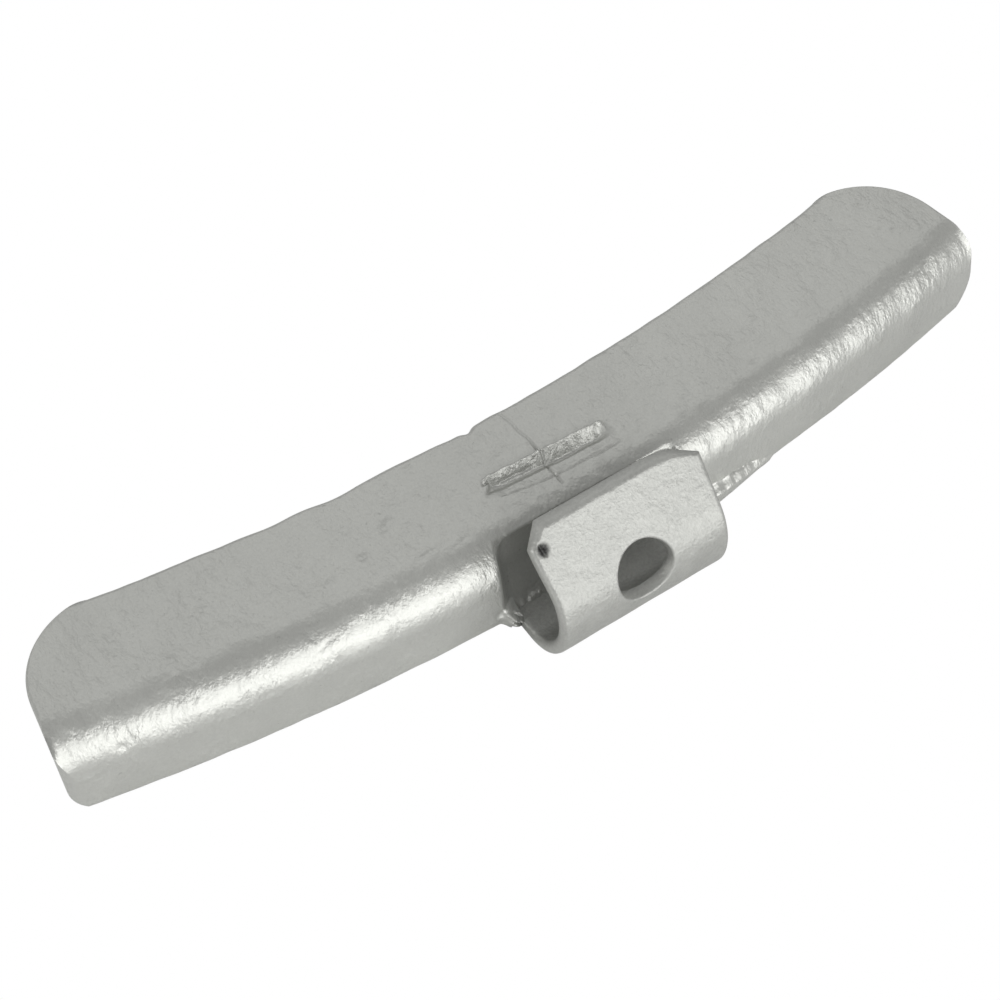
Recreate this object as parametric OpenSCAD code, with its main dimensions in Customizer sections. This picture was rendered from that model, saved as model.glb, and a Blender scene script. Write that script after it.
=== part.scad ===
// Clip-on wheel balance weight: a curved metal casting with a spring-steel clip
// cast into it. It lies on its outer face, with the face that meets the wheel up.
// +X runs along the weight, +Y points in towards the wheel's centre, and the origin
// is halfway along the body and halfway across it, on the face that it rests on.

/* [Body] */
// Radius of the rim edge that the outer side of the body follows
rim_r = 210; // [170:5:320]
// Length of the body, straight between the ends of its outer side, before its corners are rounded
body_len = 89.5; // [70:0.5:110]
// Width of the body, from its outer side in towards the wheel's centre
body_w = 12.6; // [11.6:0.1:16]
// Thickness of the body
body_h = 8.6; // [8:0.1:10]
// Radius of the thick shoulder between the top face and the outer side
shoulder_r = 3.7; // [2.5:0.1:4.5]
// Radius of the edge between the outer side and the resting face
foot_r = 1; // [0.5:0.1:1.5]
// Radius of the edge between the resting face and the inner side
crown_r = 2.5; // [1:0.1:3.5]
// Radius of the edge between the top face and the inner side
brow_r = 0.5; // [0.3:0.1:1]
// Radius of the two corners at the inner side, seen from above
inner_corner_r = 7.5; // [3:0.5:7.5]
// Radius of the corner at the outer side of the -X end, seen from above
near_corner_r = 1; // [0.5:0.1:3.4]
// Radius of the corner at the outer side of the +X end, seen from above
far_corner_r = 0.8; // [0.5:0.1:3]
// Draft of the -X end, which leans in towards the resting face
near_draft = 7; // [0:1:10]
// Draft of the +X end, which leans in towards the top face
far_draft = 9; // [0:1:10]
// Radius of the edge between the resting face and the -X end
near_foot_r = 2.2; // [1.2:0.1:3]
// Radius of the edge between the resting face and the +X end
far_foot_r = 3.5; // [1.2:0.1:4]
// Turn of the +X end, which is pulled in at the outer side
far_skew = 4.5; // [0:0.5:8]

/* [Seat for the rim's lip] */
// Length of the hollow that the rim's lip beds into, behind the clip
seat_len = 18; // [16.5:0.5:22]
// Distance from the outer side to the upper edge of the hollow
seat_w = 2.2; // [1.6:0.1:3.2]
// Radius of the hollow
seat_r = 12; // [9:0.5:20]
// Radius of the fillet at each end of the hollow
seat_fillet = 1.5; // [0.5:0.25:2]

/* [Clip] */
// Width of the spring strip
clip_w = 16; // [12:0.5:20]
// Thickness of the spring strip
sheet_t = 1.2; // [1:0.1:1.5]
// Distance that the hook stands out past the outer side of the body
hook_reach = 6.4; // [5.5:0.1:7]
// Outside radius of the lower bend
lower_bend_r = 3.5; // [2.5:0.1:4]
// Outside radius of the upper bend
upper_bend_r = 5.4; // [4.5:0.1:6]
// Straight length of the strip between the two bends
web_len = 0.3; // [0.1:0.1:1.5]
// Fall of the strip from the body to the lower bend
tang_slope = 6; // [4:1:12]
// Angle of the strip between the two bends, above the resting face
rise_angle = 54; // [50:1:70]
// Angle that the leg leans back over the body, from upright
leg_lean = 41.5; // [30:0.5:45]
// Straight length of the leg above the upper bend
leg_len = 6.2; // [5:0.1:8]
// Length of the strip that is cast into the body
tang_grip = 7.5; // [5:0.5:9]
// Distance of the clip's middle from the body's middle
clip_shift = 1.3; // [-2:0.1:2]

/* [Free end of the clip] */
// Amount that the end is cut back on its outer face, as a lead for the rim
end_bevel = 0.6; // [0:0.1:1]
// Width and height of the trimmed corner at the -X side
near_trim = 1.2; // [0.3:0.1:1.5]
// Width of the trimmed corner at the +X side
far_trim_w = 2.6; // [1:0.1:3]
// Height of the trimmed corner at the +X side
far_trim_h = 1.7; // [0.8:0.1:2]
// Diameter of the hole that the fitting tool hooks into
hole_d = 5.2; // [3:0.1:6]
// Distance from the free end to the middle of the hole
hole_drop = 8; // [7:0.1:9]

/* [Casting marks] */
// Length of the shallow mark that the mould's insert leaves in the top face
mark_len = 10.6; // [6:0.2:14]
// Distance of the mark's middle from the body's middle
mark_shift = 1.1; // [-2:0.1:2]
// Distance from the body's middle line to the mark's near edge
mark_near = -1.75; // [-2.5:0.05:-1]
// Distance from the body's middle line to the mark's deepest line
mark_deep = -0.05; // [-0.6:0.05:0.2]
// Distance from the body's middle line to the crest of the raised edge
mark_crest = 0.9; // [0.6:0.05:1.1]
// Distance from the body's middle line to the back of the raised edge
mark_back = 1.3; // [1.2:0.05:1.7]
// Depth of the mark
mark_depth = 0.45; // [0.2:0.05:0.8]
// Height of the raised edge
crest_h = 0.35; // [0.1:0.05:0.6]
// Distance of the parting groove from the body's middle
groove_shift = 0.7; // [-2:0.1:2]
// Width of the parting groove
groove_w = 0.35; // [0.2:0.05:0.6]
// Depth of the parting groove
groove_depth = 0.25; // [0.1:0.05:0.4]

/* [Hidden] */
$fn = 96;

// Plan of the body: the wheel's axis, the two edge arcs and the angle to each end
axis_y = rim_r - body_w / 2;
inner_r = rim_r - body_w;
half_angle = asin(body_len / 2 / rim_r);
overrun = 1.5;
// An arc between two straight stretches is larger by this, so that it crosses them and
// doesn't only touch them
hair = 0.0002;

// Side view of the strip, drawn with +x pointing out from the wheel's axis.
// The lower bend touches the resting face, and the upper one is the furthest out.
upper_x = body_w / 2 + hook_reach - upper_bend_r;
lower_x = upper_x + (upper_bend_r - lower_bend_r) * sin(rise_angle) - web_len * cos(rise_angle);
upper_z = lower_bend_r + (upper_bend_r - lower_bend_r) * cos(rise_angle) + web_len * sin(rise_angle);
lower_turn = tang_slope + rise_angle;
upper_turn = 90 + leg_lean - rise_angle;
start_x = lower_x - lower_bend_r * sin(tang_slope);
start_z = lower_bend_r * (1 - cos(tang_slope));
tang_len = (start_x - body_w / 2 + tang_grip) / cos(tang_slope);
// Turn of the upper bend that lies between the hole's middle and the leg
hole_turn = (hole_drop - leg_len) / upper_bend_r * 180 / PI;

// The strip is drawn from the axis of its upper bend, with +x out through the leg and
// +y up it. These are its headings there, and the axis of the lower bend.
web_heading = 90 - upper_turn;
tang_heading = web_heading - lower_turn;
function ahead(heading) = [cos(heading), sin(heading)];
function outward(heading) = [sin(heading), -cos(heading)];
lower_axis = (upper_bend_r - lower_bend_r) * outward(web_heading) - web_len * ahead(web_heading);

// Points at a depth below the strip's outer surface: back along the tang, where the
// lines of the straight stretches meet, and up the leg
function tang_point(back, depth) = lower_axis
    + (lower_bend_r - depth) * outward(tang_heading) - back * ahead(tang_heading);
function lower_corner(depth) = lower_axis
    + (lower_bend_r - depth) / cos(lower_turn / 2) * outward(web_heading - lower_turn / 2);
function upper_corner(depth) = (upper_bend_r - depth) * [1, -tan(upper_turn / 2)];
function leg_point(up, depth) = [upper_bend_r - depth, up];

// The hollow's arc runs from the top face to where the strip leaves the body
seat_top = [body_w / 2 - seat_w, body_h];
foot_x = body_w / 2 - 0.2;
seat_foot = [foot_x, start_z + (start_x - foot_x) * tan(tang_slope) + sheet_t / cos(tang_slope)];
seat_chord = seat_foot - seat_top;
seat_half = norm(seat_chord) / 2;
seat_out = [-seat_chord.y, seat_chord.x] / norm(seat_chord);
seat_centre = (seat_top + seat_foot) / 2 + seat_out * sqrt(seat_r * seat_r - seat_half * seat_half);

// Lays a side view, x out and y up, across the weight and gives it a length along it
module across(length, shift = 0) {
    translate([shift, 0, 0])
        rotate([90, 0, -90])
            linear_extrude(height = length, center = true)
                children();
}

// Cross-section of the body, x as the distance from the wheel's axis and y up
module body_section() {
    polygon([
        [inner_r, crown_r],
        [inner_r + crown_r, 0],
        [rim_r - foot_r, 0],
        [rim_r, foot_r],
        [rim_r, body_h - shoulder_r],
        [rim_r - shoulder_r, body_h],
        [inner_r + brow_r, body_h],
        [inner_r, body_h - brow_r],
    ]);
    translate([rim_r - shoulder_r, body_h - shoulder_r])
        circle(r = shoulder_r);
    translate([rim_r - foot_r, foot_r])
        circle(r = foot_r);
    translate([inner_r + crown_r, crown_r])
        circle(r = crown_r);
    translate([inner_r + brow_r, body_h - brow_r])
        circle(r = brow_r);
}

// Distance of a corner's centre past the middle of the end's line, towards the wheel's
// axis: the centre lies on an arc about that axis and r in from the line
function corner_shift(arc_r, r, skew) = axis_y * cos(skew)
    - sqrt(pow(arc_r, 2) - pow(r - axis_y * sin(skew), 2));

// What is cut off past one end, drawn from the middle of its line: all beyond x = 0,
// and the stock outside each corner
module end_outline(outer_corner_r, skew) {
    inner_y = corner_shift(inner_r + inner_corner_r, inner_corner_r, skew);
    outer_y = corner_shift(rim_r - outer_corner_r, outer_corner_r, skew);
    margin = 6;
    translate([0, -body_w / 2 - margin])
        square([3 * margin, body_w + 2 * margin]);
    difference() {
        translate([-inner_corner_r, inner_y])
            square([inner_corner_r + margin, inner_corner_r + margin]);
        translate([-inner_corner_r, inner_y])
            circle(r = inner_corner_r);
    }
    difference() {
        translate([-outer_corner_r, outer_y - outer_corner_r - margin])
            square([outer_corner_r + margin, outer_corner_r + margin]);
        translate([-outer_corner_r, outer_y])
            circle(r = outer_corner_r);
    }
}

// Side view of the stock outside the rounded edge at an end's foot, x out past the end
module foot_stock(r, draft) {
    centre = [-(body_h - r) * tan(draft) - r / cos(draft), r];
    facing = [cos(draft), -sin(draft)];
    difference() {
        polygon([
            centre,
            centre + 3 * r * facing,
            [centre.x + 3 * r, -3 * r],
            [centre.x, -r],
        ]);
        translate(centre)
            circle(r = r + hair);
    }
}

module end_cut(outer_corner_r, foot_r, draft, skew) {
    translate([0, axis_y, 0])
        rotate([0, 0, half_angle])
            translate([0, -axis_y, 0])
                rotate([0, 0, -skew]) {
                    translate([0, 0, body_h])
                        rotate([0, draft, 0])
                            linear_extrude(height = 4 * body_h, center = true)
                                end_outline(outer_corner_r, skew);
                    rotate([90, 0, 0])
                        linear_extrude(height = 2 * body_w, center = true)
                            foot_stock(foot_r, draft);
                }
}

// Tool that hollows the outer side behind the clip, a barrel with rounded rims
module lip_seat() {
    translate([clip_shift, -seat_centre.x, seat_centre.y])
        rotate([0, 90, 0])
            rotate_extrude()
                union() {
                    translate([0, -seat_len / 2])
                        square([seat_r - seat_fillet, seat_len]);
                    translate([0, seat_fillet - seat_len / 2])
                        square([seat_r, seat_len - 2 * seat_fillet]);
                    for (side = [-1, 1])
                        translate([seat_r - seat_fillet, side * (seat_len / 2 - seat_fillet)])
                            circle(r = seat_fillet);
                }
}

// Side view of the stock of the mark's raised back edge, which is cut to a crest next
module mark_stock() {
    polygon([
        [-mark_deep, body_h - mark_depth],
        [-mark_deep, body_h + crest_h],
        [-mark_crest, body_h + crest_h],
        [mark_crest - 2 * mark_back, body_h - crest_h],
    ]);
}

// Side view of the hollow of the insert's mark, up to the crest and past it
module mark_hollow() {
    polygon([
        [-mark_near, body_h],
        [-mark_deep, body_h - mark_depth],
        [-mark_crest, body_h + crest_h],
        [-mark_crest, body_h + 2 * crest_h],
        [-mark_near, body_h + 2 * crest_h],
    ]);
}

// Parting groove, from the inner side across the top face to the shoulder
module parting_groove() {
    translate([groove_shift - groove_w / 2, shoulder_r - body_w / 2, body_h - groove_depth])
        cube([groove_w, body_w, body_h]);
}

// Places what is drawn or built from the axis of the upper bend
module in_clip_frame() {
    translate([clip_shift, -upper_x, upper_z])
        rotate([90, 0, -90])
            rotate([0, 0, leg_lean])
                children();
}

// The part of the strip that the metal is cast around
module tang() {
    in_clip_frame()
        linear_extrude(height = clip_w, center = true)
            polygon([
                tang_point(tang_len, 0),
                tang_point(0, 0),
                tang_point(0, sheet_t),
                tang_point(tang_len, sheet_t),
            ]);
}

// Stock outside a bend of radius r that ends at its children's +x, having turned up
module bend_stock(r, turn) {
    spare = 1.5;
    difference() {
        polygon([
            [0, 0],
            [r, 0],
            [spare * r, -spare * r * tan(turn / 2)],
            [r * cos(turn), -r * sin(turn)],
        ]);
        circle(r = r + hair);
    }
}

// Stock outside both bends, at a depth below the strip's outer surface
module bends_stock(depth) {
    bend_stock(upper_bend_r - depth, upper_turn);
    translate(lower_axis)
        rotate(-upper_turn)
            bend_stock(lower_bend_r - depth, lower_turn);
}

// Side view of the block that lies behind the strip's outer surface
module strip_block() {
    difference() {
        polygon([
            tang_point(tang_len, 0),
            lower_corner(0),
            upper_corner(0),
            leg_point(leg_len - end_bevel, 0),
            leg_point(leg_len, sheet_t),
            tang_point(tang_len, sheet_t),
        ]);
        bends_stock(0);
    }
}

// Side view of the room inside the hook, behind the strip's inner surface
module hook_room() {
    difference() {
        polygon([
            tang_point(tang_len + 1, sheet_t),
            lower_corner(sheet_t),
            upper_corner(sheet_t),
            leg_point(leg_len + 1, sheet_t),
            [tang_point(tang_len + 1, sheet_t).x, leg_len + 1],
        ]);
        bends_stock(sheet_t);
    }
}

// Hole through the leg and the top of the bend, square to their outer face
module tool_hole() {
    in_clip_frame()
        rotate([0, 90, -hole_turn])
            cylinder(d = hole_d, h = 2 * upper_bend_r);
}

// Trimmed corners of the free end, cut through the leg
module end_trims() {
    in_clip_frame()
        translate([0, leg_len, 0])
            rotate([0, 90, 0])
                linear_extrude(height = 2 * upper_bend_r)
                    union() {
                        polygon([
                            [-clip_w / 2 - 1, 1],
                            [-clip_w / 2 - 1, -near_trim - 1],
                            [-clip_w / 2 + near_trim + 1, 1],
                        ]);
                        polygon([
                            [clip_w / 2 + 1, 1],
                            [clip_w / 2 + 1, -far_trim_h * (1 + 1 / far_trim_w)],
                            [clip_w / 2 - far_trim_w * (1 + 1 / far_trim_h), 1],
                        ]);
                    }
}

module weight_body() {
    color("darkgray")
        difference() {
            union() {
                translate([0, axis_y, 0])
                    rotate([0, 0, -90 - half_angle - overrun])
                        rotate_extrude(angle = 2 * (half_angle + overrun), $fn = 360)
                            body_section();
                across(mark_len, mark_shift)
                    mark_stock();
            }
            end_cut(far_corner_r, far_foot_r, -far_draft, far_skew);
            mirror([1, 0, 0])
                end_cut(near_corner_r, near_foot_r, near_draft, 0);
            lip_seat();
            across(mark_len, mark_shift)
                mark_hollow();
            parting_groove();
            tang();
        }
}

module spring_clip() {
    color("silver")
        difference() {
            in_clip_frame()
                linear_extrude(height = clip_w, center = true)
                    difference() {
                        strip_block();
                        hook_room();
                    }
            tool_hole();
            end_trims();
        }
}

weight_body();
spring_clip();
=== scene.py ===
import math
import bmesh
import bpy
import numpy as np
from mathutils import Matrix, Vector
from mathutils.geometry import delaunay_2d_cdt


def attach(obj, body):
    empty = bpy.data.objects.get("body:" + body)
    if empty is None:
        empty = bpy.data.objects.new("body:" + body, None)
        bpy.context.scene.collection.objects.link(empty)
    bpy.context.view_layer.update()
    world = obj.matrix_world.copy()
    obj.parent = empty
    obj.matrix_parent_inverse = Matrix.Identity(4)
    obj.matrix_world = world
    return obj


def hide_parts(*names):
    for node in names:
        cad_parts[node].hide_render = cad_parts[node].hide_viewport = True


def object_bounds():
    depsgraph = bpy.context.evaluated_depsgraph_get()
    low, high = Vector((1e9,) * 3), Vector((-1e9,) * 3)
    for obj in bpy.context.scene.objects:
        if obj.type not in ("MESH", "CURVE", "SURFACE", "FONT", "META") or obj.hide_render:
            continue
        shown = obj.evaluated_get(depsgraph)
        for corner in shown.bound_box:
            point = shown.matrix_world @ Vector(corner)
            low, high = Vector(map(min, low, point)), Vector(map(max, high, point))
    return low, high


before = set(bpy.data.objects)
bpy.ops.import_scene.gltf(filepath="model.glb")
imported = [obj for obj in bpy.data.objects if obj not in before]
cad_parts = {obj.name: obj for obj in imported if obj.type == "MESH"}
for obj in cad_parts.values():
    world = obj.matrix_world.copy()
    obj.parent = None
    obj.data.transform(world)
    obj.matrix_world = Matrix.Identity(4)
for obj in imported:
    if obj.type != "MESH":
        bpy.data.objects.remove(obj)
cad_low, cad_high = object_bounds()

# The body is one zinc casting, curved to the rim: a section swept round the wheel's axis,
# with a drafted and rounded wall at each end. All lengths are in millimetres and angles in
# degrees: x runs along the weight, y from its outer side in to the axis, z up.
MM = 0.001
RIM_R = 210.0
BODY_LEN = 89.5
BODY_W = 12.6
BODY_H = 8.6
SHOULDER_R = 3.7
FOOT_R = 1.0
CROWN_R = 2.5
BROW_R = 0.5
CLIP_X = 1.3
AXIS_Y = RIM_R - BODY_W / 2
INNER_R = RIM_R - BODY_W
HALF = math.asin(BODY_LEN / 2 / RIM_R)


def arc(cx, cz, r, start, end, n):
    """Points on a circle from one angle to another."""
    t = np.radians(np.linspace(start, end, n))
    return np.stack([cx + r * np.cos(t), cz + r * np.sin(t)], 1)


def line(p, q, n):
    """Points between two others, without those two."""
    t = np.linspace(0, 1, n + 2)[1:-1, None]
    return np.asarray(p) * (1 - t) + np.asarray(q) * t


def smooth(t):
    """Rises smoothly from 0 to 1."""
    t = np.clip(t, 0, 1)
    return t * t * (3 - 2 * t)


def bell(d, width):
    return np.exp(-(d / width) ** 2)


# The section, as distance from the wheel's axis and height, anticlockwise from the foot.
# Its rows lie closer together where the insert's mark and the flash will be.
flat_out = RIM_R - SHOULDER_R
mark_out = AXIS_Y + 2.05
mark_in = AXIS_Y - 1.60
section = np.concatenate([
    arc(RIM_R - FOOT_R, FOOT_R, FOOT_R, -90, 0, 9),
    line((RIM_R, FOOT_R), (RIM_R, 2.9), 22),
    line((RIM_R, 2.9), (RIM_R, BODY_H - SHOULDER_R), 9),
    arc(RIM_R - SHOULDER_R, BODY_H - SHOULDER_R, SHOULDER_R, 0, 90, 38),
    line((flat_out, BODY_H), (mark_out, BODY_H), 3),
    line((mark_out, BODY_H), (mark_in, BODY_H), 50),
    line((mark_in, BODY_H), (INNER_R + BROW_R, BODY_H), 21),
    arc(INNER_R + BROW_R, BODY_H - BROW_R, BROW_R, 90, 180, 8),
    line((INNER_R, BODY_H - BROW_R), (INNER_R, CROWN_R), 6),
    arc(INNER_R + CROWN_R, CROWN_R, CROWN_R, 180, 270, 8),
    line((INNER_R + CROWN_R, 0), (RIM_R - FOOT_R, 0), 6),
])
sec_r = section[:, 0]
sec_z = section[:, 1]
along_row = np.roll(section, -1, 0) - np.roll(section, 1, 0)
normal = np.stack([along_row[:, 1], -along_row[:, 0]], 1)
normal /= np.maximum(np.linalg.norm(normal, axis=1), 1e-9)[:, None]

# The two end walls differ: the near one leans in towards the table, the far one towards the
# top. Both have a large round at the inner corner, a small one outside, and a rounded foot.
END_EDGE = 0.45
CORNER_IN = 7.5


def end_reach(r, z, draft, skew, corner_out, foot):
    """How far the end wall stands out from the end's line, at this place of the section."""
    lean = math.radians(draft)
    x = -(BODY_H - z) * math.tan(lean)
    foot_x = -(BODY_H - foot) * math.tan(lean) - foot / math.cos(lean)
    on_foot = z < foot - foot * math.sin(lean)
    x = np.where(on_foot, foot_x + np.sqrt(np.maximum(foot ** 2 - (foot - z) ** 2, 0)), x)
    x = x + (r - AXIS_Y) * math.tan(math.radians(skew))
    q = np.clip((z - (BODY_H - END_EDGE)) / END_EDGE, 0, 1)
    x = x - 0.7 * END_EDGE * (1 - np.sqrt(1 - q * q))
    d = np.clip(INNER_R + CORNER_IN - r, 0, CORNER_IN)
    x = x - (CORNER_IN - np.sqrt(np.maximum(CORNER_IN ** 2 - d ** 2, 0)))
    d = np.clip(r - (RIM_R - corner_out), 0, corner_out)
    return x - (corner_out - np.sqrt(np.maximum(corner_out ** 2 - d ** 2, 0)))


def near_reach(r, z):
    return end_reach(r, z, draft=7.0, skew=0.0, corner_out=1.0, foot=2.2)


def far_reach(r, z):
    return end_reach(r, z, draft=-9.0, skew=-4.5, corner_out=0.8, foot=3.5)


# Columns along the weight, close together at the hollow, the mark, the groove and the flash:
# where each stretch ends, and how far apart its columns are
stops = [(-8.6, 0.0), (-5.9, 0.11), (7.0, 0.088), (10.8, 0.13), (20.6, 0.17)]
xs = [stops[0][0]]
for (a, _), (b, gap) in zip(stops[:-1], stops[1:]):
    n = max(1, round((b - a) / gap))
    xs += [a + (b - a) * (k + 1) / n for k in range(n)]
middle = np.arcsin(np.array(xs) / RIM_R)
near_side = -HALF + np.linspace(0, 1, 112) ** 0.8 * (middle[0] + HALF)
far_side = middle[-1] + (1 - np.linspace(1, 0, 80) ** 0.8) * (HALF - middle[-1])
columns = np.concatenate([near_side[:-1], middle, far_side[1:]])
# Near the ends the columns bend to follow the end walls
END_BLEND = 0.1
near_shift = -near_reach(sec_r, sec_z) / sec_r
far_shift = far_reach(sec_r, sec_z) / sec_r
near_part = 1 - smooth((columns + HALF) / END_BLEND)
far_part = 1 - smooth((HALF - columns) / END_BLEND)
phi = columns[:, None] + near_part[:, None] * near_shift[None] + far_part[:, None] * far_shift[None]


def place(phi, r, z):
    return np.stack([r * np.sin(phi), AXIS_Y - r * np.cos(phi), z], -1)


# The inner side isn't quite even: two shallow dips, and a step left of the parting line
inner_dips = [(-21.6, 1.6, 0.13), (-15.6, 1.7, 0.24), (-2.75, 0.55, 0.34), (-4.2, 1.4, 0.12),
              (-9.5, 2.4, -0.10), (10.8, 1.2, -0.08), (-0.4, 1.2, -0.08)]
flat_x = RIM_R * np.sin(phi)
shift = 0.09 * smooth((np.abs(flat_x) - 29) / 5)
for dip_x, width, depth in inner_dips:
    shift += depth * bell(flat_x - dip_x, width)
sweep_r = sec_r[None] + shift * smooth((INNER_R + 1.6 - sec_r) / 1.6)[None]
sweep_z = np.broadcast_to(sec_z, phi.shape)
P = place(phi, sweep_r, sweep_z)
X, Y, Z = P[..., 0], P[..., 1], P[..., 2]

# The mould's insert left a mark on the top face: a hollow whose floor slopes down to a bright
# wall under a raised, uneven crest. Heights are from the top face, places across the weight.
MARK_SLANT = 0.055
MARK_LEFT = -4.28
MARK_RIGHT = 6.75
FRONT_LINE = -1.76
FRONT_STEP = 0.25
FLOOR_FALL = 0.30
WALL_FOOT = -0.02
WALL_TOP = 0.82
CREST_H = 0.45
CREST_BACK = 1.00
LEDGE_AT = 0.22
LEDGE_DEPTH = 0.16
on_top = (np.abs(sec_z - BODY_H) < 1e-6)[None]
across = Y + MARK_SLANT * (X - 1.1)
left_end = MARK_LEFT - 1.05 * np.clip(0.78 - Y, 0, 3)
inside = smooth((X - left_end) / 0.45)
near_line = FRONT_LINE + 0.018 * np.clip(1.0 - X, 0, 9) ** 2 + 0.005 * np.clip(X - 1.0, 0, 9) ** 2
step_part = smooth((X + 4.6) / 1.4)
floor = -FRONT_STEP * smooth((across - near_line) / 0.16) * step_part
floor = floor - 0.10 * bell(across - near_line - 0.08, 0.08) * step_part
floor = floor + 0.06 * smooth((across - near_line - 0.2) / 0.3) * step_part
floor = floor - 0.10 * smooth((across - near_line) / 1.0)
floor = floor - FLOOR_FALL * smooth((across + 0.62) / 0.5)
floor = floor * smooth((7.2 - X) / 1.8)
wall_foot = WALL_FOOT + 0.45 * smooth((-3.3 - X) / 1.1)
wall = np.clip((across - wall_foot) / (WALL_TOP - wall_foot), 0, 1)
crest = CREST_H + 0.03 * np.sin(X * 1.9 + 0.5) + 0.02 * np.sin(X * 4.3)
crest = crest + 0.05 * np.sin(X * 7.5 + 1.0) * smooth((X - 4.4) / 0.6)
crest = crest * smooth((X + 5.0) / 1.0) * smooth((MARK_RIGHT - X) / 0.4)
height = floor + (crest - floor) * wall
height = np.where(across > WALL_TOP, crest * smooth((CREST_BACK - across) / 0.16), height)
# A ledge divides the wall left of the parting line, and its foot is ragged right of it
ledge = smooth((-0.25 - X) / 0.25) * smooth((X + 3.6) / 0.5)
height = height - LEDGE_DEPTH * bell(across - LEDGE_AT, 0.06) * ledge
ragged = smooth((X - 1.1) / 0.4) * smooth((4.2 - X) / 1.2)
height = height - 0.14 * bell(across + 0.30, 0.2) * ragged
lumpy = bell(X - 5.6, 0.8) * smooth((across + 0.1) / 0.3) * smooth((1.0 - across) / 0.2)
height = height + 0.05 * np.sin(X * 8.0) * np.sin(across * 6.0) * lumpy
inside = np.where(across > 0.4, smooth((X + 4.95) / 0.6), inside)
push = np.where(on_top, height * inside, 0)

# Parting groove across the top face, deepest where it cuts the mark, with a faint ridge
GROOVE_W = 0.085
groove_x = np.interp(Y, [-3.6, -2.1, -0.2, 1.7, 3.9, 6.1], [0.58, 0.45, 0.69, 0.88, 0.78, 0.64])
groove_x = groove_x + 0.05 * np.sin(Y * 3.1)
groove_depth = np.interp(Y, [-4.2, -3.2, -2.0, 1.4, 2.2, 6.3], [0.0, 0.07, 0.20, 0.28, 0.08, 0.05])
push = push - np.where(on_top, groove_depth * bell(X - groove_x, GROOVE_W), 0)
push = push + np.where(on_top, 0.03 * bell(X - groove_x + 0.3, 0.16) * smooth((Y - 1.0) / 0.5), 0)

# Pits, flakes and specks of the casting: place, size and height, all in millimetres
spots = [
    (-13.35, 1.83, 8.6, 0.40, -0.14), (-12.6, 2.1, 8.6, 0.28, -0.10), (-16.35, 0.43, 8.6, 0.33, -0.12),
    (23.24, 2.22, 8.6, 0.28, 0.10), (12.3, -2.1, 8.6, 0.55, 0.10), (14.2, -2.2, 8.6, 0.45, 0.08),
    (-42.4, -2.0, 4.3, 0.32, 0.16), (-41.8, -2.1, 4.0, 0.28, -0.16), (-39.5, -2.3, 6.2, 0.32, -0.16),
    (-38.6, -2.3, 6.6, 0.30, -0.08), (-42.9, -1.7, 6.0, 0.40, 0.05), (-41.0, 0.1, 8.3, 0.28, -0.06),
    (-32.3, -1.1, 8.4, 0.35, 0.07), (-34.0, 6.5, 8.6, 0.35, -0.05), (-33.3, 0.8, 8.6, 0.40, -0.07),
    (39.7, -0.6, 8.1, 0.24, 0.09), (41.3, -1.2, 7.4, 0.22, 0.09), (38.1, -0.8, 8.2, 0.25, 0.08),
    (34.3, -1.8, 8.0, 0.26, 0.08), (31.9, -2.6, 7.7, 0.24, 0.07), (29.9, -2.5, 8.0, 0.26, 0.07),
    (38.2, -0.1, 8.5, 0.22, 0.07), (37.3, -2.8, 6.1, 0.25, 0.06), (39.2, 4.8, 8.6, 0.30, -0.08),
    (38.3, 3.7, 8.6, 0.26, -0.07), (39.2, 3.0, 8.6, 0.26, -0.07), (38.6, 6.8, 8.6, 0.28, -0.06),
    (-8.6, -3.6, 8.3, 0.22, 0.07), (-7.4, -3.9, 8.2, 0.18, 0.08), (-11.5, -3.3, 8.4, 0.25, 0.06),
]
for sx, sy, sz, size, high in spots:
    push = push + high * bell(np.sqrt((X - sx) ** 2 + (Y - sy) ** 2 + (Z - sz) ** 2), size)
# Scratches and fine ridges: both ends, half width and height
scratches = [
    ((-35.6, -0.9, 8.3), (-34.6, -0.7, 8.45), 0.10, 0.07),
    ((-34.6, -0.7, 8.45), (-33.6, -0.6, 8.55), 0.10, 0.07),
    ((-8.9, 5.6, 8.6), (-7.8, 5.7, 8.6), 0.13, -0.06),
    ((13.4, 5.4, 8.6), (14.3, 5.5, 8.6), 0.13, -0.05),
    ((20.1, -1.4, 8.6), (21.0, -1.7, 8.6), 0.12, -0.07),
    ((-23.4, -4.2, 7.2), (-22.2, -3.9, 7.6), 0.12, -0.07),
    ((-37.5, 1.2, 8.6), (-35.4, 1.9, 8.6), 0.16, -0.05),
    ((-30.8, 2.4, 8.6), (-28.9, 3.4, 8.6), 0.16, -0.05),
    ((-12.9, -2.2, 8.6), (-10.9, -2.1, 8.6), 0.14, -0.05),
    ((-10.2, -2.9, 8.5), (-8.6, -2.6, 8.6), 0.14, -0.05),
]
for a, b, width, high in scratches:
    a = np.array(a)
    b = np.array(b)
    t = np.clip(((P - a) @ (b - a)) / ((b - a) @ (b - a)), 0, 1)
    push = push + high * bell(np.linalg.norm(P - a - t[..., None] * (b - a), axis=-1), width)

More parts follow.
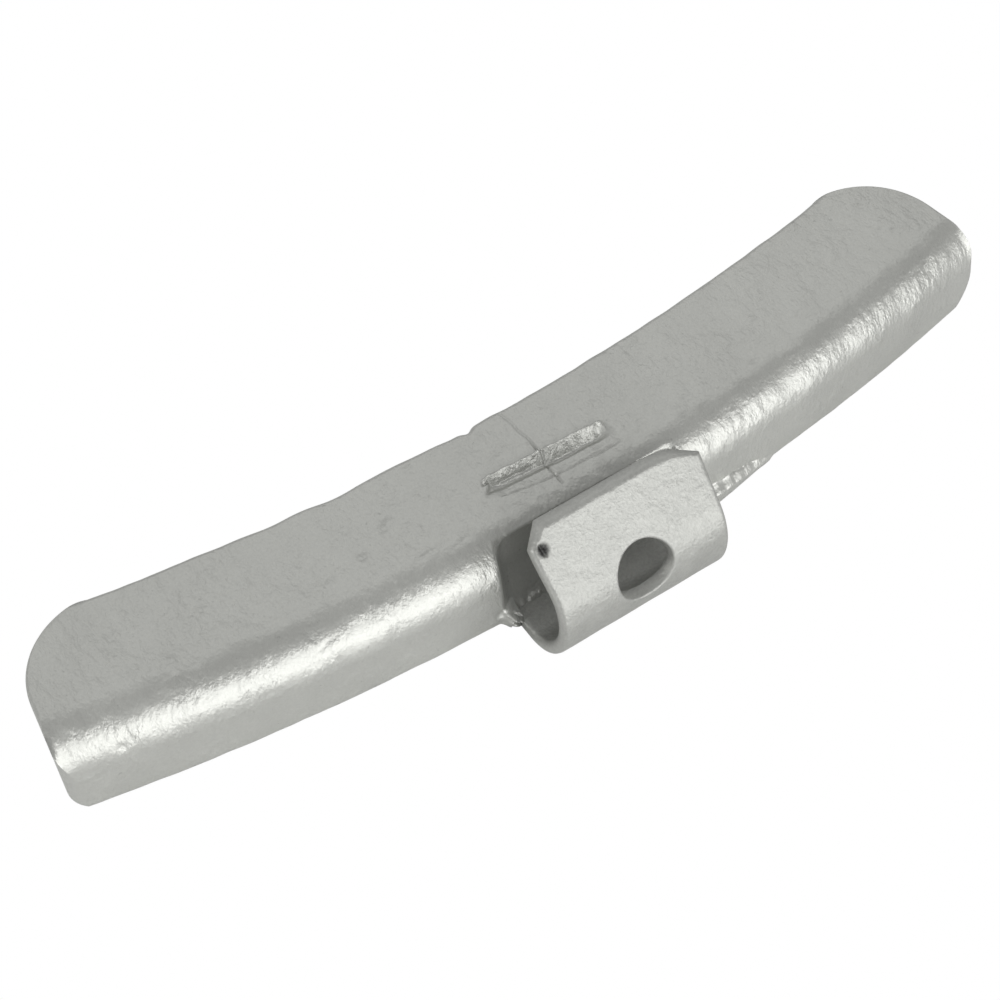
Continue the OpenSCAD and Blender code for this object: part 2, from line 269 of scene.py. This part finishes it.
# The casting's skin is nowhere quite even, and lies a little inside the CAD's
SKIN_WAVES = 60
SKIN_H = 0.012
SKIN_BACK = 0.02
rng = np.random.default_rng(7)
wave = np.zeros(phi.shape)
for k in range(SKIN_WAVES):
    length = rng.uniform(1.2, 6.0)
    turn = rng.uniform(0, 2 * math.pi)
    kx = math.cos(turn) * 2 * math.pi / length
    ks = math.sin(turn) * 2 * math.pi / length
    phase = rng.uniform(0, 2 * math.pi)
    wave += np.cos(X * kx + (Y - Z) * ks + phase) * length ** 0.7
wave *= SKIN_H / wave.std()
wave = wave * (1 - bell(phi + HALF, 0.01)) * (1 - bell(phi - HALF, 0.01)) - SKIN_BACK
push = np.where(Z < 0.05, 0, push + wave)
P = place(phi, sweep_r + push * normal[None, :, 0], sweep_z + push * normal[None, :, 1])
X, Y, Z = P[..., 0], P[..., 1], P[..., 2]

# Hollow that the rim's lip beds into, behind the clip: a barrel with rounded rims
SEAT_R = 12.0
SEAT_LEN = 18.0
SEAT_W = 2.2
SEAT_FOOT = 1.44
FILLET = 1.5
top_out = BODY_W / 2 - SEAT_W
foot_out = BODY_W / 2 - 0.2
chord = np.array([foot_out - top_out, SEAT_FOOT - BODY_H])
half = np.linalg.norm(chord) / 2
out = np.array([-chord[1], chord[0]]) / np.linalg.norm(chord)
seat_c = np.array([top_out + foot_out, BODY_H + SEAT_FOOT]) / 2
seat_c = seat_c + out * math.sqrt(SEAT_R ** 2 - half ** 2)
u = np.abs(X - CLIP_X)
edge = np.clip((u - (SEAT_LEN / 2 - FILLET)) / FILLET, 0, 1)
cut_r = SEAT_R - FILLET * (1 - np.sqrt(1 - edge ** 2))
away = -Y
hollow = seat_c[0] - np.sqrt(np.maximum(cut_r ** 2 - (Z - seat_c[1]) ** 2, 0))
hollow = hollow + 3 * np.clip(u - SEAT_LEN / 2, 0, 9)
# Soft joint between the hollow and the rounded shoulder, wider at the hollow's ends
soft = 0.08 + 0.65 * smooth((u - 7.3) / 1.4)
h = np.clip(0.5 + 0.5 * (hollow - away) / soft, 0, 1)
joined = hollow * (1 - h) + away * h - soft * h * (1 - h)
above_foot = smooth((Z - 0.9) / 0.6)
depth_in = np.clip(hollow - away, 0, 0.8) / 0.8
drop = 0.08 * (1 - depth_in) ** 2 * smooth((Z - 6.3) / 2.0) * smooth((u - 6.8) / 1.2)
near_seat = (u < SEAT_LEN / 2 + 1) & (Y < 0)
P[..., 1] = np.where(near_seat, -(away + (joined - away) * above_foot), Y)
P[..., 2] = np.where(near_seat, Z - drop, Z)
X, Y, Z = P[..., 0], P[..., 1], P[..., 2]

# Flash at the foot of the outer side: a lip right of the clip with a wavy crease above it,
# and a lump against the left edge of the tang
outer = (normal[:, 0] > 0.3)[None]
lip_top = np.interp(X, [10.5, 13.3, 15.7, 16.8, 17.7, 18.8, 20.3],
                    [2.7, 2.5, 2.2, 2.0, 1.75, 1.45, 1.0])
lip_top = lip_top + 0.04 * np.sin(X * 5.2)
lip_out = np.interp(X, [10.3, 12.5, 15.5, 18.3, 19.6, 20.3], [0.0, 0.85, 0.62, 0.30, 0.24, 0.0])
lip = lip_out * smooth((lip_top - Z) / 0.8) * smooth(Z / 0.6)
lip = lip + 0.10 * bell(Z - lip_top + 0.2, 0.14) * bell(X - 13.4, 0.5)
crease = smooth((X - 15.2) / 0.4) * smooth((18.4 - X) / 0.6)
lip = lip - 0.26 * bell(Z - lip_top + 0.05, 0.09) * crease
foot_lumps = 0.10 * bell(Z - 1.55, 0.35) * (1 + np.sin(X * 6.1) * np.sin(X * 2.3 + 1.0))
Y = Y - np.where(outer & near_seat, foot_lumps * above_foot, 0)
LUMP_OUT = 0.95
lump = LUMP_OUT * smooth((X + 8.0) / 0.8) * smooth((-6.3 - X) / 0.3)
lump = lump * smooth((2.5 - Z) / 0.9) * smooth((Z - 0.1) / 0.5)
lump = lump * (1 + 0.22 * np.sin(Z * 9.0 + X * 7.0) + 0.12 * np.sin(Z * 17.0 - X * 11.0))
P[..., 1] = Y - np.where(outer, lip + lump, 0)
P[..., 2] = np.maximum(Z, 0)

points = [P.reshape(-1, 3)]
cols, rows = phi.shape
faces = []
for i in range(cols - 1):
    for j in range(rows):
        k = (j + 1) % rows
        faces.append((i * rows + j, i * rows + k, (i + 1) * rows + k, (i + 1) * rows + j))
# Rings from each end's outline in to the line along the wall's middle. The rows from above
# and below end at different points of that line, so a hair-thin seam stays open there.
SPINE_IN = 4.2
SPINE_OUT = 3.0
SPINE_Z = 4.4
spine_r = np.clip(sec_r, INNER_R + SPINE_IN, RIM_R - SPINE_OUT)
spine_z = np.full_like(spine_r, SPINE_Z)
parts = CORNER_IN * (1 - np.cos(np.radians(np.arange(4, 62, 4)))) / SPINE_IN
parts = [f for f in parts if f < 0.93] + [1.0]
count = cols * rows
for side, reach, first in ((-1, near_reach, 0), (1, far_reach, (cols - 1) * rows)):
    last = [first + j for j in range(rows)]
    for f in parts:
        r = sec_r + (spine_r - sec_r) * f
        z = sec_z + (spine_z - sec_z) * f
        points.append(place(side * (HALF + reach(r, z) / r), r, z))
        now = [count + j for j in range(rows)]
        count += rows
        for j in range(rows):
            k = (j + 1) % rows
            quad = (last[j], now[j], now[k], last[k])
            faces.append(quad if side < 0 else quad[::-1])
        last = now


def mesh_piece(name, points, faces, material):
    """Makes a smooth-shaded mesh from points in millimetres."""
    mesh = bpy.data.meshes.new(name)
    mesh.from_pydata((np.asarray(points) * MM).tolist(), [], faces)
    bm = bmesh.new()
    bm.from_mesh(mesh)
    bmesh.ops.remove_doubles(bm, verts=bm.verts, dist=2e-7)
    bmesh.ops.dissolve_degenerate(bm, edges=bm.edges, dist=1e-7)
    bmesh.ops.recalc_face_normals(bm, faces=bm.faces)
    bm.to_mesh(mesh)
    bm.free()
    mesh.polygons.foreach_set("use_smooth", [True] * len(mesh.polygons))
    mesh.materials.append(material)
    mesh.update()
    piece = bpy.data.objects.new(name, mesh)
    bpy.context.scene.collection.objects.link(piece)
    return piece


class Value:
    """A socket of a shader tree, with sums and other nodes as operators and methods."""

    def __init__(self, tree, socket):
        self.tree = tree
        self.socket = socket

    def node(self, kind, output=0, settings=None, **inputs):
        """Adds a node. Its inputs are given by name, or by number as at0, at1 and so on."""
        n = self.tree.nodes.new(kind)
        for k, v in (settings or {}).items():
            setattr(n, k, v)
        for k, v in inputs.items():
            k = int(k[2:]) if k[:2] == "at" else k.replace("_", " ")
            if isinstance(v, Value):
                self.tree.links.new(v.socket, n.inputs[k])
            else:
                n.inputs[k].default_value = v
        return Value(self.tree, n.outputs[output])

    def math(self, operation, a, b):
        return self.node("ShaderNodeMath", settings={"operation": operation}, at0=a, at1=b)

    def __add__(self, other):
        return self.math("ADD", self, other)

    def __sub__(self, other):
        return self.math("SUBTRACT", self, other)

    def __rsub__(self, other):
        return self.math("SUBTRACT", other, self)

    def __mul__(self, other):
        return self.math("MULTIPLY", self, other)

    __radd__ = __add__
    __rmul__ = __mul__

    def step(self, low, high):
        """Rises smoothly from 0 at low to 1 at high."""
        return self.node("ShaderNodeMapRange", settings={"interpolation_type": "SMOOTHSTEP"},
                         Value=self, From_Min=low, From_Max=high)

    def noise(self, scale, detail=3.0, rough=0.55):
        """Noise at this point, of that many waves per metre."""
        return self.node("ShaderNodeTexNoise", Vector=self, Scale=scale, Detail=detail,
                         Roughness=rough)


def new_material(name):
    """Makes a material and returns it with its surface shader and the object's position."""
    material = bpy.data.materials.new(name)
    material.use_nodes = True
    tree = material.node_tree
    shader = tree.nodes["Principled BSDF"]
    where = Value(tree, tree.nodes.new("ShaderNodeTexCoord").outputs["Object"])
    return material, shader, where


def bumps(where, shader, height, distance):
    """Gives the shader a bump of this height, whose full height is that distance."""
    bump = where.node("ShaderNodeBump", Height=height, Distance=distance)
    where.tree.links.new(bump.socket, shader.inputs["Normal"])


def silver(where, shader, tone):
    """A silver grey with a slight warmth, of this lightness."""
    colour = where.node("ShaderNodeCombineColor", Red=tone, Green=tone * 1.01, Blue=tone * 0.955)
    where.tree.links.new(colour.socket, shader.inputs["Base Color"])


# Its silver coating is a satin metallic paint. The casting's fine wrinkles, drawn out across
# the weight, show through it in patches, and a little grime lies in the pores.
cast_paint, shader, where = new_material("cast_paint")
across_flow = where.node("ShaderNodeMapping", Vector=where, Scale=(1.6, 0.9, 0.9))
wrinkle = across_flow.noise(800.0, 3.0, 0.55)
grain = where.noise(4200.0, 2.0, 0.6)
broad = where.noise(140.0, 3.0, 0.5)
patch = where.noise(260.0, 2.0, 0.5).step(0.38, 0.62)
pores = where.noise(1500.0, 3.0, 0.65).step(0.66, 0.74)
place_x = where.node("ShaderNodeSeparateXYZ", 0, Vector=where)
place_y = where.node("ShaderNodeSeparateXYZ", 1, Vector=where)
from_clip = place_x - CLIP_X * MM
beside = from_clip.math("ABSOLUTE", from_clip, 0.0)
# Painted shade: the hollow behind the clip, under the clip's leg, is painted darker, and its wrinkles
# are fainter
hollow_painted_shade = (1 - beside.step(0.0079, 0.0089)) * (1 - place_y.step(-0.0045, -0.0039))
tone = (broad - 0.5) * 0.12 + (grain - 0.5) * 0.09 - pores * 0.10 - hollow_painted_shade * 0.20 + 0.57
silver(where, shader, tone)
shader.inputs["Metallic"].default_value = 0.55
rough = (broad - 0.5) * 0.12 + 0.33
where.tree.links.new(rough.socket, shader.inputs["Roughness"])
relief = (patch * 0.45 + 0.40) * (1 - hollow_painted_shade * 0.7)
bumps(where, shader, wrinkle * relief + grain * 0.16, 0.0002)

# No point lies past the CAD's inner side
points = np.concatenate(points)
points[:, 1] = np.minimum(points[:, 1], cad_high[1] * 1000)
body = mesh_piece("cast_body", points, faces, cast_paint)
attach(body, "root")
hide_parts("weight_body")

# The spring clip is one steel strip bent round two bends, with a tool hole, a free end cut
# back on its outer face, two trimmed corners, and edges rounded by tumbling.
CLIP_W = 16.0
SHEET = 1.2
REACH = 6.4
LOWER_R = 3.5
UPPER_R = 5.4
WEB = 0.3
SLOPE = math.radians(6)
RISE = math.radians(54)
LEAN = math.radians(41.5)
LEG = 6.2
GRIP = 7.5
upper_x = BODY_W / 2 + REACH - UPPER_R
upper_z = LOWER_R + (UPPER_R - LOWER_R) * math.cos(RISE) + WEB * math.sin(RISE)
lower_x = upper_x + (UPPER_R - LOWER_R) * math.sin(RISE) - WEB * math.cos(RISE)
start_x = lower_x - LOWER_R * math.sin(SLOPE)
# Where the tang, the lower bend, the web, the upper bend and the leg end, along the strip
tang_end = (start_x - BODY_W / 2 + GRIP) / math.cos(SLOPE)
lower_end = tang_end + LOWER_R * (SLOPE + RISE)
web_end = lower_end + WEB
upper_end = web_end + UPPER_R * (math.pi / 2 + LEAN - RISE)
free_end = upper_end + LEG


def on_strip(u, s, depth):
    """Point of the strip: u across it, s along its outer face, depth below that face."""
    u, s, depth = np.broadcast_arrays(u, s, depth)
    t_low = np.clip(s - tang_end, 0, lower_end - tang_end) / LOWER_R
    t_high = np.clip(s - web_end, 0, upper_end - web_end) / UPPER_R
    a = t_low + t_high - SLOPE
    lean = math.pi / 2 + LEAN
    before = np.minimum(s - tang_end, 0)
    on_web = np.clip(s - lower_end, 0, WEB)
    after = np.maximum(s - upper_end, 0)
    bend_low = np.clip(a, -SLOPE, RISE)
    bend_high = np.clip(a, RISE, lean)
    out = start_x + before * math.cos(SLOPE) + LOWER_R * (np.sin(bend_low) + math.sin(SLOPE))
    out = out + on_web * math.cos(RISE) + UPPER_R * (np.sin(bend_high) - math.sin(RISE))
    out = out + after * math.cos(lean)
    up = -before * math.sin(SLOPE) + LOWER_R * (1 - np.cos(bend_low))
    up = up + on_web * math.sin(RISE) + UPPER_R * (math.cos(RISE) - np.cos(bend_high))
    up = up + after * math.sin(lean)
    return np.stack([CLIP_X + u, depth * np.sin(a) - out, up + depth * np.cos(a)], -1)


# Outline of the flat strip, and rings inside it for the rounded edges. The trim at the right
# runs out in a curve at the free end.
HOLE_R = 2.6
HOLE_DROP = 8.0
ROUND = 0.42
HOLE_ROUND = 0.2
hole_s = free_end - HOLE_DROP
W2 = CLIP_W / 2
bezier = [((1 - t) ** 2, 2 * t * (1 - t), t * t) for t in (0, 0.25, 0.5, 0.75, 1)]
ctrl = np.array([(W2 - 1.5, free_end - 0.72), (W2 - 2.7, free_end), (W2 - 4.6, free_end)])
corners = np.concatenate([[(-W2, 0.0), (W2, 0.0), (W2, free_end - 1.7)], np.array(bezier) @ ctrl,
                          [(-W2 + 1.4, free_end), (-W2, free_end - 1.95)]])
EDGE_GAP = 0.19


def inset(poly, d):
    """The same convex outline, moved in by d."""
    edges = np.roll(poly, -1, 0) - poly
    edges /= np.linalg.norm(edges, axis=1)[:, None]
    inward = np.stack([-edges[:, 1], edges[:, 0]], 1)
    offset = (inward * poly).sum(1) + d
    return np.array([np.linalg.solve(inward[[i - 1, i]], offset[[i - 1, i]]) for i in range(len(poly))])


def outline(d):
    poly = inset(corners, d)
    pts = []
    for i in range(len(poly)):
        side = np.linalg.norm(np.roll(corners, -1, 0)[i] - corners[i])
        n = max(2, int(round(side / EDGE_GAP)))
        pts += [poly[i] + (np.roll(poly, -1, 0)[i] - poly[i]) * k / n for k in range(n)]
    return np.array(pts)


def hole_ring(d):
    t = np.linspace(0, 2 * math.pi, 96, endpoint=False)
    return np.stack([(HOLE_R + d) * np.cos(t), hole_s + (HOLE_R + d) * np.sin(t)], 1)


def edge_gap(q):
    """Distance of each point from the nearest edge of the flat strip."""
    d = np.full(len(q), 1e9)
    for p, t in zip(corners, np.roll(corners, -1, 0) - corners):
        t = t / np.linalg.norm(t)
        d = np.minimum(d, (q[:, 1] - p[1]) * t[0] - (q[:, 0] - p[0]) * t[1])
    return np.minimum(d, np.hypot(q[:, 0], q[:, 1] - hole_s) - HOLE_R)


insets = [0.0, 0.03, 0.09, 0.18, 0.29, ROUND]
loops = [outline(d) for d in insets] + [hole_ring(d) for d in insets]
GAP = 0.18
grid_u, grid_s = np.meshgrid(np.arange(-W2, W2, GAP), np.arange(0, free_end, GAP))
grid_u = grid_u + np.where(np.arange(len(grid_u)) % 2, GAP / 2, 0)[:, None]
grid = np.stack([grid_u.ravel(), grid_s.ravel()], 1)
dent_u, dent_s = np.meshgrid(np.arange(-7.42, -6.4, 0.07), free_end - np.arange(0.9, 3.6, 0.09))
grid = np.concatenate([grid, np.stack([dent_u.ravel(), dent_s.ravel()], 1)])
grid = grid[edge_gap(grid) > ROUND + 0.1]
flat = np.concatenate(loops + [grid])
starts = np.cumsum([0] + [len(loop) for loop in loops])
edges = []
for a, loop in zip(starts, loops):
    n = len(loop)
    edges += [(int(a + k), int(a + (k + 1) % n)) for k in range(n)]
flat, _, tris, _, _, _ = delaunay_2d_cdt([Vector(p) for p in flat], edges, [], 1, 1e-7)
flat = np.array([tuple(p) for p in flat])
tris = [t for t in tris if math.hypot(*(flat[list(t)].mean(0) - (0, hole_s))) > HOLE_R * 0.999]
# How far the outer face drops at the strip's edges, and less so round the hole
gap = np.clip(edge_gap(flat), 0, ROUND)
drop = ROUND - np.sqrt(np.maximum(ROUND ** 2 - (ROUND - gap) ** 2, 0))
from_hole = np.hypot(flat[:, 0], flat[:, 1] - hole_s) - HOLE_R
gap = np.clip(from_hole, 0, HOLE_ROUND)
at_hole = HOLE_ROUND - np.sqrt(np.maximum(HOLE_ROUND ** 2 - (HOLE_ROUND - gap) ** 2, 0))
drop = np.where(from_hole < ROUND + 0.05, at_hole, drop)

# Dents and scratches of the outer face: both ends, from the strip's middle and from its free
# end, then width and depth
dents = [((-7.28, 1.85), (-7.12, 2.75), 0.13, 0.17), ((2.6, 1.3), (2.1, 2.3), 0.10, 0.035),
         ((5.8, 1.7), (5.2, 3.0), 0.10, 0.03), ((2.4, 6.4), (6.8, 6.9), 0.45, 0.03),
         ((-6.2, 4.0), (-5.6, 5.2), 0.35, 0.025), ((-0.5, 3.0), (0.8, 3.3), 0.30, -0.02)]
push = np.zeros(len(flat))
for (u0, s0), (u1, s1), size, depth in dents:
    a = np.array([u0, free_end - s0])
    b = np.array([u1, free_end - s1])
    t = np.clip((flat - a) @ (b - a) / ((b - a) @ (b - a)), 0, 1)
    push += depth * bell(np.linalg.norm(flat - a - t[:, None] * (b - a), axis=1), size)
# The strip isn't quite flat after bending, and the push goes into the metal only
push += 0.010 * (1 + np.sin(flat[:, 0] * 1.3 + 0.6) * np.cos(flat[:, 1] * 0.9))
CUT_BACK = 0.6
CUT_FROM = 2.0


def bevelled(s, depth):
    """Moves the free end back on the outer face, by less the deeper the point lies."""
    near_end = smooth((s - (free_end - CUT_FROM)) / CUT_FROM)
    return s - CUT_BACK * (1 - depth / SHEET) * near_end


outer_depth = drop + np.maximum(push, 0)
# The leg spreads a little towards its free end at the left
SPREAD = 0.28
spread = SPREAD * smooth((flat[:, 1] - (free_end - 7.0)) / 5.0) * np.clip(-flat[:, 0] / W2, 0, 1)
flat[:, 0] = flat[:, 0] - spread
inner_depth = SHEET - drop
outer_face = on_strip(flat[:, 0], bevelled(flat[:, 1], outer_depth), outer_depth)
inner_face = on_strip(flat[:, 0], bevelled(flat[:, 1], inner_depth), inner_depth)
n = len(flat)
faces = [tuple(map(int, t)) for t in tris] + [tuple(int(n + i) for i in t[::-1]) for t in tris]
sides = {(t[i], t[(i + 1) % 3]) for t in tris for i in range(3)}
faces += [(b, a, n + a, n + b) for a, b in sides if (b, a) not in sides]

# Its silver coating is smoother than the body's, with a fine grain. Inside the hook it is painted
# darker as painted shade, and the deepest dent is painted dark as painted shade.
clip_paint, shader, where = new_material("clip_paint")
grain = where.noise(4200.0, 2.0, 0.6)
broad = where.noise(330.0, 3.0, 0.55)
side_on = where.node("ShaderNodeVectorMath", settings={"operation": "MULTIPLY"},
                     at0=where, at1=(0, 1, 1))
from_bend = side_on.node("ShaderNodeVectorMath", 1, {"operation": "DISTANCE"}, at0=side_on,
                         at1=(0, -upper_x * MM, upper_z * MM))
# Painted shade on the inner face of the upper bend
hook_painted_shade = 1 - from_bend.step(0.0043, 0.0049)
DENT_U = -7.42
DENT_DROP = 2.3
dent_at = on_strip(DENT_U, free_end - DENT_DROP, 0.0) * MM
from_dent = where.node("ShaderNodeVectorMath", 1, {"operation": "DISTANCE"}, at0=where,
                       at1=tuple(dent_at))
# Painted shade in the deepest dent
dent_painted_shade = 1 - from_dent.step(0.0003, 0.0008)
tone = (broad - 0.5) * 0.16 + (grain - 0.5) * 0.18 - hook_painted_shade * 0.12 - dent_painted_shade * 0.4 + 0.465
silver(where, shader, tone)
shader.inputs["Metallic"].default_value = 0.45
rough = (broad - 0.5) * 0.14 + 0.41
where.tree.links.new(rough.socket, shader.inputs["Roughness"])
orange_peel = where.noise(900.0, 3.0, 0.55)
bumps(where, shader, grain * 0.3 + orange_peel * 0.7, 0.00014)

clip = mesh_piece("clip_strip", np.concatenate([outer_face, inner_face]), faces, clip_paint)
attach(clip, "root")
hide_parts("spring_clip")

# The table that it lies on is white, and glossy enough to mirror the light near the horizon.
# The camera sees it as plain white, and everything else sees it as lit.
bpy.ops.mesh.primitive_plane_add(size=3.0, location=(0, 0, -0.00002))
table = bpy.context.object
table.name = "table"
white, shader, where = new_material("white_table")
shader.inputs["Base Color"].default_value = (0.9, 0.9, 0.9, 1)
shader.inputs["Roughness"].default_value = 0.06
shader.inputs["Specular IOR Level"].default_value = 1.0
seen = where.node("ShaderNodeLightPath", output="Is Camera Ray")
glow = where.node("ShaderNodeEmission", Color=(1, 1, 1, 1))
mixed = where.node("ShaderNodeMixShader", at0=seen, at1=Value(where.tree, shader.outputs[0]), at2=glow)
where.tree.links.new(mixed.socket, where.tree.nodes["Material Output"].inputs["Surface"])
table.data.materials.append(white)


def toward(azimuth, elevation):
    """Unit direction, in degrees."""
    a = math.radians(azimuth)
    e = math.radians(elevation)
    return Vector((math.cos(e) * math.cos(a), math.cos(e) * math.sin(a), math.sin(e)))


# The room is an even grey, darker overhead to the front, and white to the camera
world = bpy.data.worlds.new("studio")
bpy.context.scene.world = world
world.use_nodes = True
tree = world.node_tree
direction = Value(tree, tree.nodes.new("ShaderNodeTexCoord").outputs["Generated"])
overhead = direction.node("ShaderNodeVectorMath", 1, {"operation": "DOT_PRODUCT"},
                          at0=direction, at1=tuple(toward(-25.0, 62.0)))
dim = overhead.step(0.72, 0.96)
seen = direction.node("ShaderNodeLightPath", output="Is Camera Ray")
strength = (0.485 - dim * 0.20) * (1 - seen) + seen
background = tree.nodes["Background"]
background.inputs["Color"].default_value = (1, 1, 1, 1)
tree.links.new(strength.socket, background.inputs["Strength"])


def soft_light(name, azimuth, elevation, distance, width, height, power):
    """A soft box that faces the weight from this direction, in degrees, metres and watts."""
    data = bpy.data.lights.new(name, "AREA")
    data.shape = "RECTANGLE"
    data.size = width
    data.size_y = height
    data.energy = power
    lamp = bpy.data.objects.new(name, data)
    back = toward(azimuth, elevation)
    lamp.location = back * distance
    lamp.rotation_mode = "QUATERNION"
    lamp.rotation_quaternion = back.to_track_quat("Z", "Y")
    bpy.context.scene.collection.objects.link(lamp)


soft_light("front_low_box", -79.0, 8.0, 0.8, 0.95, 0.34, 2.55)
soft_light("front_high_box", -79.0, 31.0, 0.8, 0.95, 0.30, 1.6)
soft_light("left_box", 176.0, 15.0, 0.8, 0.5, 0.4, 1.7)
soft_light("back_box", 52.0, 51.0, 0.9, 0.7, 0.5, 0.42)

# The camera stands where the photograph was taken from. Its focal length and centre are in
# pixels of a picture this wide.
PICTURE_PX = 1000.0
SENSOR_MM = 36.0
roll = math.radians(1.747)
distance = 0.245043
focal = 3093.401
centre_px = (533.622, 474.064)
target = Vector((0.0009, 0.0017, 0.005))
back = toward(-127.909, 50.765)
right = Vector((-back.y, back.x, 0)).normalized()
up = back.cross(right)
level = right
right = level * math.cos(roll) + up * math.sin(roll)
up = up * math.cos(roll) - level * math.sin(roll)
camera = bpy.data.objects.new("camera", bpy.data.cameras.new("camera"))
camera.data.sensor_width = SENSOR_MM
camera.data.lens = focal * SENSOR_MM / PICTURE_PX
camera.data.shift_x = (PICTURE_PX / 2 - centre_px[0]) / PICTURE_PX
camera.data.shift_y = (centre_px[1] - PICTURE_PX / 2) / PICTURE_PX
camera.data.clip_start = 0.01
camera.data.clip_end = 20.0
turn = Matrix((right, up, back)).transposed().to_4x4()
camera.matrix_world = Matrix.Translation(target + back * distance) @ turn
bpy.context.scene.collection.objects.link(camera)
bpy.context.scene.camera = camera
bpy.context.scene.view_settings.view_transform = "Standard"
